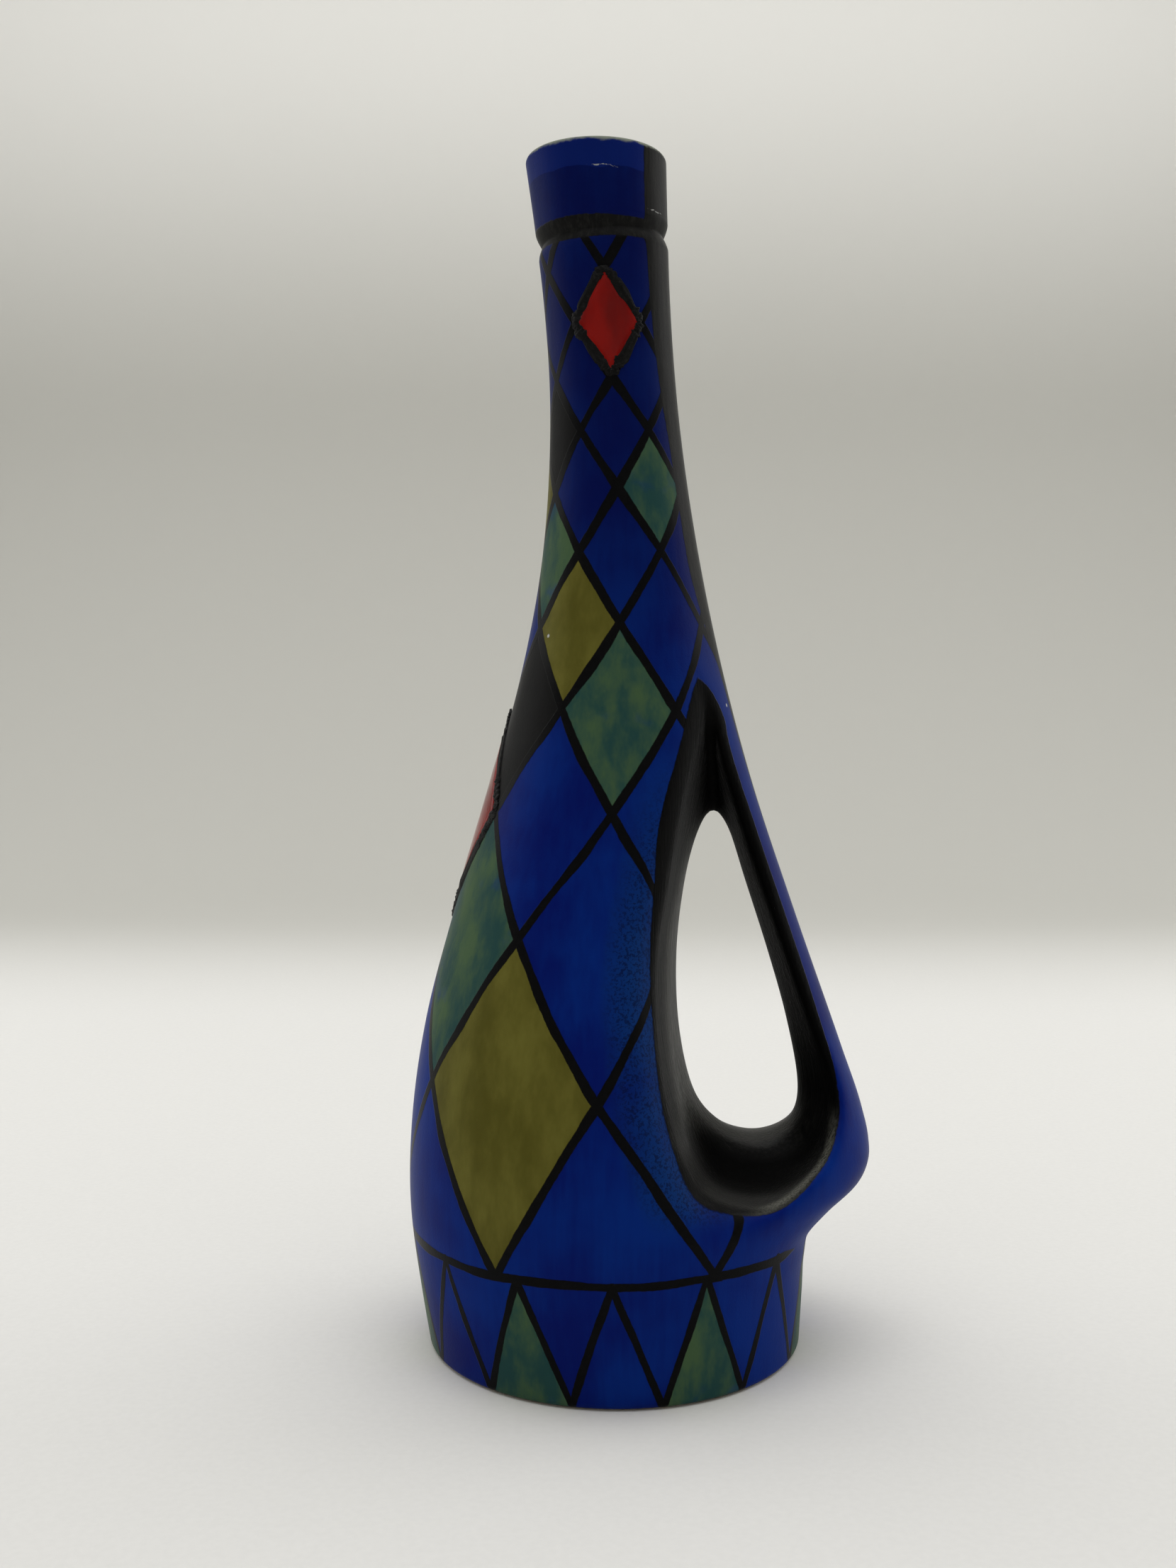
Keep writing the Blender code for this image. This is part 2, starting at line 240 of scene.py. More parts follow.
class Skin:
    """Sampled field of the body, elbow, arm and shoulder, with a mesh over its surface."""

    def __init__(self):
        x = np.arange(*SKIN_ACROSS, SKIN_STEP)
        half_y = np.arange(*SKIN_DEEP, SKIN_STEP)
        z = np.arange(*SKIN_UP, SKIN_STEP)
        grid = np.meshgrid(x, half_y, z, indexing="ij")
        outside = as_distance(outside_field(*grid))
        hollow = as_distance(hollow_field(*grid))
        body_side = smooth_step(*BODY_EDGE_ACROSS, grid[0]) * smooth_step(*BODY_EDGE_UP, grid[2])
        rounding = ARM_EDGE + (BODY_EDGE - ARM_EDGE) * body_side
        near_x = np.flatnonzero(x > HOLE_LEFT)[0]
        near_z = np.flatnonzero(z > HOLE_LOW)[0]
        halves = []
        for side in (-1.0, 1.0):
            hole = np.full(outside.shape, FAR_OFF)
            for row, y in enumerate(half_y):
                corner = (slice(near_x, None), row, slice(near_z, None))
                hole[corner] = outline_distance(grid[0][corner], grid[2][corner], hole_outline(side * y))
            hole = as_distance(np.minimum(hole, FAR_OFF))
            solid = rounded_greater(outside, -hole, rounding)
            solid = np.maximum(solid, -hollow)
            solid = np.maximum(solid, SLAB_TOP - SKIN_OVERLAP - grid[2])
            solid = np.maximum(solid, grid[2] - NECK_SEAM - SKIN_OVERLAP)
            halves.append((solid, hole))
        self.start = np.array((x[0], -half_y[-1], z[0]))
        self.solid, self.hole = (
            np.concatenate((front[:, :0:-1], back), axis=1) for front, back in zip(*halves)
        )
        self.slope = np.stack(np.gradient(self.solid, SKIN_STEP), axis=-1)

    def sample(self, values, points):
        """Values of a sampled field at points, blended from the eight samples round each."""
        place = (points - self.start) / SKIN_STEP
        top = np.array(self.solid.shape) - 2
        cell = np.clip(np.floor(place).astype(int), 0, top)
        t = np.clip(place - cell, 0.0, 1.0)
        total = 0.0
        for corner in itertools.product((0, 1), repeat=3):
            share = np.prod(np.where(corner, t, 1.0 - t), axis=1)
            i, j, k = (cell + corner).T
            picked = values[i, j, k]
            total = total + picked * (share if picked.ndim == 1 else share[:, None])
        return total

    def surface(self):
        """Points and four-sided faces over the zero level of the field."""
        inside = self.solid < 0.0
        size = np.array(inside.shape) - 1
        corners = []
        for i, j, k in itertools.product((0, 1), repeat=3):
            corners.append(inside[i:size[0] + i, j:size[1] + j, k:size[2] + k])
        count = np.sum(corners, axis=0)
        crossed = (count > 0) & (count < 8)
        number = np.full(crossed.shape, -1)
        number[crossed] = np.arange(crossed.sum())
        points = self.start + (np.argwhere(crossed) + 0.5) * SKIN_STEP
        faces = []
        for axis in range(3):
            others = [a for a in range(3) if a != axis]
            low = np.take(inside, range(size[axis]), axis)
            high = np.take(inside, range(1, size[axis] + 1), axis)
            edges = np.argwhere(low != high)
            placed = edges[:, others]
            edges = edges[np.all((placed > 0) & (placed < size[others]), axis=1)]
            quad = []
            for back_a, back_b in ((1, 1), (0, 1), (0, 0), (1, 0)):
                cell = edges.copy()
                cell[:, others[0]] -= back_a
                cell[:, others[1]] -= back_b
                quad.append(number[tuple(cell.T)])
            quad = np.stack(quad, axis=1)
            outward = low[tuple(edges.T)] == (axis != 1)
            faces.append(np.where(outward[:, None], quad, quad[:, ::-1]))
        return self.settled(points), np.concatenate(faces)

    def settled(self, points):
        """Moves points along the slope until they lie on the surface."""
        for _ in range(SETTLE_ROUNDS):
            slope = self.sample(self.slope, points)
            level = self.sample(self.solid, points)
            step = level / np.maximum((slope ** 2).sum(1), LEAST_SQUARE)
            points = points - np.clip(step, -SKIN_STEP, SKIN_STEP)[:, None] * slope
        return points


def unit(start, end):
    """Direction from one (x, z) point to another."""
    step = np.subtract(end, start)
    return step / math.hypot(*step)


def beyond(places, point, direction):
    """How far places lie past a point in a direction of the XZ plane."""
    return (places[:, 0] - point[0]) * direction[0] + (places[:, 2] - point[1]) * direction[1]


UPRIGHT = np.array((0.0, 1.0))
ARM_ACROSS = unit((0.0, 0.0), (1.0, ARM_SLOPE))
ARM_ALONG = np.array((-ARM_ACROSS[1], ARM_ACROSS[0]))
ELBOW_RISE = unit(ELBOW_CORNER, ELBOW_TOP)
ELBOW_OUT = np.array((ELBOW_RISE[1], -ELBOW_RISE[0]))


def past_middle(places):
    """How far places lie on the arm's side of the finger hole's middle line."""
    middles, levels = zip(ARM_FOOT, HOLE_MIDDLE, ARM_TOP)
    return places[:, 0] - np.interp(places[:, 2], levels, middles)


def on_body_side(places):
    """Which places lie on the body's side of that line."""
    return past_middle(places) < 0.0


def anywhere(places):
    return np.ones(len(places), bool)


# The planes that part the members: a point, the direction square to the plane, and where it cuts
SEAM_PLANES = (
    ((0.0, SLAB_TOP), UPRIGHT, anywhere),
    ((0.0, NECK_SEAM), UPRIGHT, anywhere),
    ((0.0, BODY_SEAM), UPRIGHT, on_body_side),
    (ARM_TOP, ARM_ALONG, lambda places: beyond(places, ARM_TOP, ARM_ACROSS) > 0.0),
    (ARM_FOOT, ARM_ALONG, lambda places: beyond(places, ARM_FOOT, ARM_ACROSS) > 0.0),
    (ELBOW_CORNER, ELBOW_OUT, lambda places: beyond(places, ELBOW_TOP, ELBOW_RISE) < 0.0),
)
SEAM_REACH = 4.0 * SKIN_STEP
SEAM_TOLERANCE = 0.001


def member_masks(places):
    """Which member each place on the skin belongs to."""
    above_foot = beyond(places, ARM_FOOT, ARM_ALONG) > 0.0
    arm = above_foot & (beyond(places, ARM_TOP, ARM_ALONG) < 0.0) & ~on_body_side(places)
    elbow = ~above_foot & (beyond(places, ELBOW_CORNER, ELBOW_OUT) > 0.0)
    body = ~arm & ~elbow & (places[:, 2] > SLAB_TOP) & (places[:, 2] < NECK_SEAM)
    high = places[:, 2] > BODY_SEAM
    return {
        "lower_body": body & ~high, "upper_body": body & high, "handle_arm": arm, "handle_elbow": elbow,
    }


def face_centres(bm):
    return np.array([face.calc_center_median() for face in bm.faces])


def cut_along_seams(points, faces):
    """The skin as a mesh that has edges along every seam."""
    mesh = bpy.data.meshes.new("skin")
    mesh.from_pydata(points, [], faces.tolist())
    bm = bmesh.new()
    bm.from_mesh(mesh)
    bpy.data.meshes.remove(mesh)
    for point, square, wanted in SEAM_PLANES:
        places = face_centres(bm)
        near = (np.abs(beyond(places, point, square)) < SEAM_REACH) & wanted(places)
        chosen = [face for face, picked in zip(bm.faces, near) if picked]
        edges = {edge for face in chosen for edge in face.edges}
        corners = {vert for face in chosen for vert in face.verts}
        bmesh.ops.bisect_plane(
            bm, geom=[*corners, *edges, *chosen], dist=SEAM_TOLERANCE / 10.0,
            plane_co=(point[0], 0.0, point[1]), plane_no=(square[0], 0.0, square[1]),
        )
    return bm


def closed_member(name, bm, mask):
    """One member of the skin, with flat faces where it meets its neighbours."""
    member = bm.copy()
    member.faces.ensure_lookup_table()
    bmesh.ops.delete(member, geom=[f for f, keep in zip(member.faces, mask) if not keep], context="FACES")
    skin_faces = len(member.faces)
    rims = [edge for edge in member.edges if edge.is_boundary]
    ends = [np.array([edge.verts[k].co for edge in rims]) for k in (0, 1)]
    for point, square, _ in SEAM_PLANES:
        off_plane = np.maximum(*(np.abs(beyond(places, point, square)) for places in ends))
        rim = [edge for edge, off in zip(rims, off_plane) if off < SEAM_TOLERANCE]
        if rim:
            normal = (square[0], 0.0, square[1])
            bmesh.ops.triangle_fill(member, edges=rim, use_beauty=True, normal=normal)
    bmesh.ops.recalc_face_normals(member, faces=member.faces)
    bmesh.ops.scale(member, vec=(MM, MM, MM), verts=member.verts)
    mesh = bpy.data.meshes.new(name)
    member.to_mesh(mesh)
    member.free()
    mesh.shade_smooth()
    smooth_normals(mesh, skin_faces)
    return mesh


def read(items, field, width, kind=np.float64):
    """A field of every item of a mesh collection as an array."""
    values = np.empty(len(items) * width, kind)
    items.foreach_get(field, values)
    return values.reshape(-1, width) if width > 1 else values


def smooth_normals(mesh, skin_faces):
    """Normals from the field on the skin, and flat ones on the faces that close a member."""
    corners = read(mesh.loops, "vertex_index", 1, np.int32)
    slope = skin.sample(skin.slope, read(mesh.vertices, "co", 3) / MM)
    slope /= np.linalg.norm(slope, axis=1)[:, None]
    normals = slope[corners]
    counts = read(mesh.polygons, "loop_total", 1, np.int32)
    first_flat = counts[:skin_faces].sum()
    flat = np.repeat(read(mesh.polygons, "normal", 3), counts, axis=0)
    normals[first_flat:] = flat[first_flat:]
    mesh.normals_split_custom_set(normals)


# The turned members: their rings, groove, rims and slab

TURN_STEPS = 180
TURN_ANGLES = math.tau * (np.arange(TURN_STEPS) + 0.5) / TURN_STEPS - math.pi
RING_STEP = 1.0
RIM_ROUNDING = 1.5
LIP_ROUNDING = 1.6
ROUNDING_LEVELS = 9
COLLAR_SLOPE = 3.4
SHOULDER_SLOPE = 3.2
GROOVE_SHARPNESS = 1.4
GROOVE_LEVELS = GROOVE_HEIGHT + np.arange(-4.0, 6.0, 0.25)
SLAB_SHRINKS = (0.04, 0.2, 0.4, 0.6, 0.8, 0.94)
FACING_DOWN = -0.9
LINING_REACH = 1.2
SHARP_ANGLE = math.radians(50.0)


def drawn_in(z, angle):
    """How far the rounded foot, the tilted groove and the rounded rim draw the outside in."""
    past = z - GROOVE_MIDDLE - GROOVE_TILT * np.cos(angle)
    away = np.where(past > 0.0, past / COLLAR_SLOPE, -past / SHOULDER_SLOPE)
    groove = GROOVE_DEPTH * np.maximum(0.0, 1.0 - away) ** GROOVE_SHARPNESS
    return groove + rounded_off(z, FOOT_ROUNDING) + rounded_off(HEIGHT - z, RIM_ROUNDING)


def rounded_off(distance, radius):
    """How far a quarter round draws an edge in at a distance from its end face."""
    if distance >= radius:
        return 0.0
    return radius - math.sqrt(radius * radius - (radius - distance) ** 2)


def outside_ring(z):
    """Points round the outside at a height."""
    reach = outside_reach(TURN_ANGLES, np.full(TURN_STEPS, z)) - drawn_in(z, TURN_ANGLES)
    x = axis_at(np.array([z])) + reach * np.cos(TURN_ANGLES)
    return np.stack((x, reach * np.sin(TURN_ANGLES), np.full(TURN_STEPS, z)), axis=1)


def hollow_ring(z):
    """Points round the hollow at a height."""
    middle, half_width, half_depth = hollow_curves(np.array([z]))
    grown = rounded_off(HEIGHT - z, LIP_ROUNDING)
    x = middle + (half_width + grown) * np.cos(TURN_ANGLES)
    y = (half_depth + grown) * np.sin(TURN_ANGLES)
    return np.stack((x, y, np.full(TURN_STEPS, z)), axis=1)


def heights(low, high, *extra):
    """Heights of rings from low to high, with extra ones where a shape turns quickly."""
    steps = int(math.ceil((high - low) / RING_STEP))
    return np.unique(np.round(np.concatenate((np.linspace(low, high, steps + 1), *extra)), 4))


def rounding_heights(end, radius):
    """Heights that divide a quarter round evenly, measured from the face at its end."""
    turn = np.linspace(0.0, math.pi / 2.0, ROUNDING_LEVELS)
    return np.abs(end - radius * (1.0 - np.sin(turn)))


def new_mesh(name, points, faces):
    """A mesh from points in millimetres and rows of point numbers."""
    mesh = bpy.data.meshes.new(name)
    mesh.from_pydata(points * MM, [], faces)
    return mesh


def numbered(rows):
    """Numbers of the points in some rows of points."""
    return np.arange(len(rows) * len(rows[0])).reshape(len(rows), -1)


def quads_between(lower, upper):
    """Four-sided faces between rows of point numbers that each close on themselves."""
    corners = (lower, np.roll(lower, -1, 1), np.roll(upper, -1, 1), upper)
    return np.stack(corners, axis=-1).reshape(-1, 4)


def turned_mesh(name, rings, closed_loop):
    """Mesh through rings of points: a loop of rings, or a solid with a face at each end."""
    number = numbered(rings)
    upper = np.roll(number, -1, 0) if closed_loop else number[1:]
    lower = number if closed_loop else number[:-1]
    faces = quads_between(lower, upper).tolist()
    if not closed_loop:
        faces += [number[0][::-1].tolist(), number[-1].tolist()]
    mesh = new_mesh(name, np.concatenate(rings), faces)
    mesh.shade_smooth()
    mesh.set_sharp_from_angle(angle=SHARP_ANGLE)
    return mesh


def wall_mesh(name, low, high, *extra):
    """A member of the neck: its outside, its top, its inside and its bottom."""
    levels = heights(low, high, *extra)
    outside = [outside_ring(z) for z in levels]
    inside = [hollow_ring(z) for z in levels[::-1]]
    return turned_mesh(name, outside + inside, closed_loop=True)


def slab_mesh(name):
    """The base slab: its flat underside, its rounded edge and its top."""
    levels = heights(0.0, SLAB_TOP, rounding_heights(0.0, FOOT_ROUNDING))
    edge = [outside_ring(z) for z in levels]
    underside = [edge[0] * (share, share, 1.0) for share in SLAB_SHRINKS]
    top = [edge[-1] * (share, share, 1.0) for share in reversed(SLAB_SHRINKS)]
    return turned_mesh(name, underside + edge + top, closed_loop=False)


# The painted design: a harlequin lattice that shrinks with the jug, over a band of dog teeth

RING_HEIGHT = 30.0
NECK_TOP = 276.5
BODY_SPREAD = ((40, 0.9), (60, 0.7), (100, 0.7), (118, 1.9), (135, 3.2), (150, 2.4), (175, 2))
ARM_SPREAD = ((40, 0.8), (58, 0.6), (68, 0.9), (80, 2.4), (95, 3.4), (130, 3.5), (150, 3.1), (175, 4.2))
LATTICE_TURNS = 6
LATTICE_ANGLE = math.radians(-2.0)
ENAMEL_HEIGHT = 256.0
ENAMEL_ROW = 10
TEETH = 14
STRIPE_HALF_ANGLE = (
    (95, 0), (115, 3), (140, 8), (160, 13.5), (172, 19), (182, 27), (195, 35.5), (210, 38), (225, 39.5),
    (240, 45), (255, 48.5), (283, 51), (300, 49),
)
NO_STRIPE = -9.0
# Filled lozenges, as (row up from the ring, angle of the middle in degrees)
GREEN_CELLS = ((1, 118), (2, -152), (4, -92), (6, -152), (7, -62), (9, 118), (8, 88))
OLIVE_CELLS = ((1, -122), (3, 58), (5, -122), (4, 148), (7, 178), (9, -2), (2, 88))
BLACK_CELLS = ((4, -152), (6, 88), (8, -152), (5, 118))
ENAMEL_CELLS = (("neck", 10, -92), ("left", 3, 178), ("back", 5, 58))
SAME_ANGLE = 0.99
PATH_SAMPLES = 1201

path_heights = np.linspace(0.0, HEIGHT, PATH_SAMPLES)
path_middles = (path_heights[1:] + path_heights[:-1]) / 2.0
path_steps = np.diff(path_heights) / smooth_curve(HALF_DEPTH, path_middles)
path_rise = np.concatenate(((0.0,), np.cumsum(path_steps)))
path_rise -= np.interp(RING_HEIGHT, path_heights, path_rise)


def rise_at(z):
    """Height on the unrolled surface, in radii above the ring line."""
    return np.interp(z, path_heights, path_rise)


LATTICE_CLIMB = math.pi * ENAMEL_ROW / float(rise_at(ENAMEL_HEIGHT))


def filled(angle, z, cells):
    """Whether places lie in the given lozenges of the lattice."""
    turn = LATTICE_TURNS * (angle - LATTICE_ANGLE)
    climb = LATTICE_CLIMB * rise_at(z)
    i = np.floor((turn + climb) / math.tau)
    j = np.floor((turn - climb) / math.tau)
    middle = LATTICE_ANGLE + math.pi * (i + j + 1.0) / LATTICE_TURNS
    found = np.zeros(len(z), bool)
    for row, degrees in cells:
        found |= (i - j == row) & (np.cos(middle - math.radians(degrees)) > SAME_ANGLE)
    return found & (z > RING_HEIGHT)


# Parts of the paint as products of smooth steps: a measure, where its step is 0 and where it is 1.
# "away" is distance from the plane of the waist and "buried" is depth under the outside
ARM_SIDE = (("past_middle", -5, 5),)
# Painted shade darkens the arm's inner side, the valley of the ledge and the outer wall beside the edge
SHADED_INNER_ARM = (*ARM_SIDE, ("z", 60, 75))
LEDGE = (("z", 66, 54),)
SHELF = (("z", 62, 50),)
SHADED_VALLEY = (*LEDGE, ("away", 8, 14), ("away", 29, 22))
SHADED_OUTER_WALL = (("buried", 25, 13),)
SHADED_LEFT_LIP = (("x", 32, 22), ("buried", 8, 3))
# Painted sheen by the waist, below a height
WAIST_SHEEN = (("away", 4, 1),)
SHEEN_BELOW = (("z", 150, 110),)
# A painted highlight along the lower right edge of the hollow
LIP_HIGHLIGHT_PLACES = (("buried", 1, 2.6), ("buried", 6, 3.4), ("x", 30, 40), ("z", 64, 54))
# Scumbled paint beside the finger hole, lighter there as a painted sheen
SCUMBLE_AND_SHEEN_PLACES = (("hole", 14, 1), ("x", 34, 24), ("z", 38, 50), ("z", 165, 105))
# How dark the painted shade beside the edge is, and how strong the painted sheen by the waist is
LIP_SHADE_SHARE = 0.85
WAIST_SHEEN_SHARE = 0.6
DRAWN_ANGLE = (0.45, 0.63)
DRAWN_NECK = (150.0, 178.0)
DRAWN_FOOT = (RING_HEIGHT, RING_HEIGHT - 3.0)


def stepped(measures, steps):
    """A product of smooth steps."""
    return math.prod(smooth_step(low, high, measures[name]) for name, low, high in steps)


def design_measures(angle, z):
    """What the lines and fills of the painted design follow."""
    radius = smooth_curve(HALF_DEPTH, z)
    stripe = np.where(z > STRIPE_HALF_ANGLE[0][0], smooth_curve(STRIPE_HALF_ANGLE, z), NO_STRIPE)
    turn = TEETH * (angle + math.pi) / math.tau
    tooth = np.floor(turn)
    tooth_top = RING_HEIGHT * (1.0 - np.abs(turn - tooth - 0.5) * 2.0)
    green_tooth = (z < tooth_top) & (tooth % 2 == 0)
    beside_arm = np.maximum(smooth_step(*DRAWN_ANGLE, np.abs(angle)), smooth_step(*DRAWN_NECK, z))
    return {
        "radius": radius,
        "stripe": (np.radians(stripe) - np.abs(angle)) * radius,
        "drawn": np.maximum(beside_arm, smooth_step(*DRAWN_FOOT, z)),
        "green": filled(angle, z, GREEN_CELLS) | green_tooth,
        "olive": filled(angle, z, OLIVE_CELLS),
        "black": filled(angle, z, BLACK_CELLS),
    }


def hollow_measures(places):
    """What the black of the finger hole, its painted shade, sheen and highlight, and the scumbling
    lightened as a painted sheen beside it follow.
    """
    x, y, z = places.T
    hole = np.where((z > HOLE_LOW) & (z < HOLE_HIGH), skin.sample(skin.hole, places), FAR_OFF)
    at = {"x": x, "z": z, "away": np.abs(y), "hole": hole}
    at.update(buried=-outside_field(x, y, z), past_middle=past_middle(places))
    arm = stepped(at, ARM_SIDE)
    ledge = stepped(at, LEDGE)
    spread = smooth_curve(BODY_SPREAD, z) * (1.0 - arm) + smooth_curve(ARM_SPREAD, z) * arm
    # Painted shade on the wall beside the outer edge of the hollow
    lip_shade_and_highlight = np.maximum((1.0 - ledge) * stepped(at, SHADED_OUTER_WALL), stepped(at, SHADED_LEFT_LIP))
    sheen = np.maximum((1.0 - arm) * (1.0 - lip_shade_and_highlight), WAIST_SHEEN_SHARE * stepped(at, WAIST_SHEEN))
    return {
        "funnel": spread - hole,
        "painted_shade": np.maximum.reduce((stepped(at, SHADED_INNER_ARM), stepped(at, SHADED_VALLEY), LIP_SHADE_SHARE * lip_shade_and_highlight)),
        "sheen": sheen * (1.0 - ledge) * stepped(at, SHEEN_BELOW),
        "lip_shade_and_highlight": stepped(at, LIP_HIGHLIGHT_PLACES),
        "shelf": stepped(at, SHELF),
        "scumble_and_sheen": stepped(at, SCUMBLE_AND_SHEEN_PLACES),
    }


def unroll(mesh, angle, z):
    """Lays the faces out by angle and by height, each one whole where the angle starts again."""
    corners = read(mesh.loops, "vertex_index", 1, np.int32)
    starts = read(mesh.polygons, "loop_start", 1, np.int32)
    counts = read(mesh.polygons, "loop_total", 1, np.int32)
    turned = angle[corners]
    split = np.maximum.reduceat(turned, starts) - np.minimum.reduceat(turned, starts) > math.pi
    turned = np.where(np.repeat(split, counts) & (turned < 0.0), turned + math.tau, turned)
    layer = mesh.uv_layers.new(name="paint")
    layer.data.foreach_set("uv", np.stack((turned, rise_at(z)[corners]), axis=1).ravel())


def dress(mesh):
    """Gives a mesh the measures that its paint follows."""
    places = read(mesh.vertices, "co", 3) / MM
    x, y, z = places.T
    angle = np.arctan2(y, x - axis_at(z))
    for name, values in {**design_measures(angle, z), **hollow_measures(places)}.items():
        layer = mesh.attributes.new(name, "FLOAT", "POINT")
        layer.data.foreach_set("value", np.asarray(values, np.float32))
    unroll(mesh, angle, z)


# Colours as they look in plain light, in 8-bit sRGB

DEEP_BLUE = (0, 17, 94)
BRIGHT_BLUE = (0, 38, 118)
# Painted shade: the blue darkens towards this up the neck
NECK_SHADE_BLUE = (0, 6, 52)
COLLAR_BLUE = (8, 32, 106)
# Beside the finger hole: scumbled paint lightened as a painted sheen, with darker speckle
SCUMBLED_SHEEN_BLUE = (8, 48, 104)
SHEEN_SPECKLE_BLUE = (2, 9, 40)
DEEP_GREEN = (33, 66, 64)
MOSS_GREEN = (66, 90, 61)
DEEP_OLIVE = (78, 74, 24)
PALE_OLIVE = (106, 102, 44)
BLACK_PAINT = (7, 7, 8)
# Painted shade in the finger hole
SHADE_BLACK = (3, 3, 3)
SATIN_BLACK = (16, 16, 16)
GREY_BLACK = (32, 32, 30)
# Painted sheen in streaks by the waist
SHEEN_STREAK_GREY = (74, 74, 68)
# Painted highlight along the lower right edge of the hollow
LIP_HIGHLIGHT_GREY = (98, 98, 90)
WORN_EDGE = (126, 132, 118)
PIT_WHITE = (176, 178, 176)
DEEP_RED = (102, 2, 0)
BRIGHT_RED = (130, 9, 3)
CRAWLED_BLACK = (7, 7, 7)
CRAWLED_GREY = (26, 25, 24)
TIN_WHITE = (204, 198, 182)
TIN_SHADE = (176, 168, 148)
FIRED_CLAY = (178, 146, 110)
DARK_CLAY = (134, 104, 76)
FLOOR_PALE = (226, 225, 222)
FLOOR_SHADE = (223, 222, 219)
# Painted shade low on the backdrop's walls, and a painted lighter top
SHADED_WALL_GREY = (190, 189, 183)
LIT_WALL_TOP = (236, 235, 231)


def linear(colour):
    """An 8-bit sRGB colour as linear values with full opacity."""
    parts = np.array(colour) / 255.0
    parts = np.where(parts <= 0.04045, parts / 12.92, ((parts + 0.055) / 1.055) ** 2.4)
    return (*parts.tolist(), 1.0)


class Value:
    """A shader number that takes part in plain arithmetic."""

    def __init__(self, owner, output):
        self.owner = owner
        self.output = output

    def math(self, operation, *others):
        node = self.owner.node("Math", enumerate((self, *others)), operation=operation)
        return Value(self.owner, node.outputs[0])

    def __add__(self, other):
        return self.math("ADD", other)

    def __sub__(self, other):
        return self.math("SUBTRACT", other)

    def __mul__(self, other):
        return self.math("MULTIPLY", other)

    def least(self, other):
        return self.math("MINIMUM", other)

    def most(self, other):
        return self.math("MAXIMUM", other)

    def size(self):
        return self.math("ABSOLUTE")

    def wrapped(self, span):
        return self.math("WRAP", span / 2.0, -span / 2.0)

    def between(self, low, high):
        """What smooth_step does, in the shader."""
        inputs = {"Value": self, "From Min": low, "From Max": high}
        node = self.owner.node("MapRange", inputs, interpolation_type="SMOOTHSTEP")
        return Value(self.owner, node.outputs["Result"])


class Finish:
    """A material under construction."""

    def __init__(self, name, roughness, specular):
        self.material = bpy.data.materials.new(name)
        self.material.use_nodes = True
        self.tree = self.material.node_tree
        self.shader = self.tree.nodes["Principled BSDF"]
        self.set("Roughness", roughness)
        self.set("Specular IOR Level", specular)
        self.place = self.node("TexCoord").outputs["Object"]

    def node(self, kind, inputs=(), **settings):
        """A new node with some settings and inputs."""
        node = self.tree.nodes.new("ShaderNode" + kind)
        for name, value in settings.items():
            setattr(node, name, value)
        for key, value in dict(inputs).items():
            self.feed(node.inputs[key], value)
        return node

    def feed(self, slot, value):
        """Sets a number or a colour on an input, or links another node's output to it."""
        value = value.output if isinstance(value, Value) else value
        if isinstance(value, bpy.types.NodeSocket):
            self.tree.links.new(value, slot)
        else:
            slot.default_value = value

    def set(self, name, value):
        """Feeds an input of the shader itself."""
        self.feed(self.shader.inputs[name], value)

    def measure(self, name):
        return Value(self, self.node("Attribute", attribute_name=name).outputs["Fac"])

    def parts(self, vector):
        return [Value(self, output) for output in self.node("SeparateXYZ", {0: vector}).outputs]

    def paint_place(self):
        return self.parts(self.node("UVMap", uv_map="paint").outputs["UV"])[:2]

    def stretched(self, scale):
        """Places in millimetres, multiplied by a scale along each axis."""
        inputs = {0: self.place, 1: [part / MM for part in scale]}
        return self.node("VectorMath", inputs, operation="MULTIPLY").outputs["Vector"]

    def noise(self, scale, detail=2.0, rough=0.5):
        """Smooth noise from 0 to 1 with a number of waves per millimetre."""
        scale = scale if isinstance(scale, tuple) else (scale, scale, scale)
        inputs = {"Vector": self.stretched(scale), "Scale": 1.0, "Detail": detail, "Roughness": rough}
        return Value(self, self.node("TexNoise", inputs).outputs["Fac"])

    def spots(self, scale, left_out=0.0):
        """Distance from scattered points in cells of 1 / scale millimetres, with a share left out."""
        inputs = {"Vector": self.stretched((scale, scale, scale)), "Scale": 1.0}
        node = self.node("TexVoronoi", inputs)
        distance = Value(self, node.outputs["Distance"])
        if not left_out:
            return distance
        lot = self.parts(node.outputs["Color"])[0]
        return distance + lot.between(left_out, left_out - 0.01)

    def scratch(self, angle, height, level, start, end):
        """A broken hairline round part of the jug at a level."""
        stray = (self.noise(0.25, 2.0) - 0.5) * 3.0
        broken = self.noise(0.7, 2.0).between(0.46, 0.56)
        within = angle.between(start, start + 0.1) * angle.between(end, end - 0.1)
        return (height - level + stray).size().between(0.22, 0.08) * within * broken

    def mixed(self, share, first, second):
        """A colour between two colours, each an sRGB colour or the output of another mix."""
        first, second = (linear(c) if isinstance(c, tuple) else c for c in (first, second))
        return self.node("Mix", {0: share, 6: first, 7: second}, data_type="RGBA").outputs[2]

    def blended(self, share, first, second):
        """A number between a shader number and another number."""
        return first + (first * -1.0 + second) * share

    def finish(self, colour, roughness, relief=None):
        """The material with a colour, a roughness and a relief in millimetres."""
        self.set("Base Color", colour)
        self.set("Roughness", roughness)
        if relief is not None:
            bump = self.node("Bump", {"Distance": MM, "Height": relief})
            self.set("Normal", bump.outputs["Normal"])
        return self.material


# Edges and bands of the paint and the backdrop. Each scratch is a level and the angles of its ends

LINE_HALF_WIDTH = 1.1
EDGE_SOFTNESS = 0.12
FILL_EDGE = (0.45, 0.55)
TOOTH_LEAN = 0.42
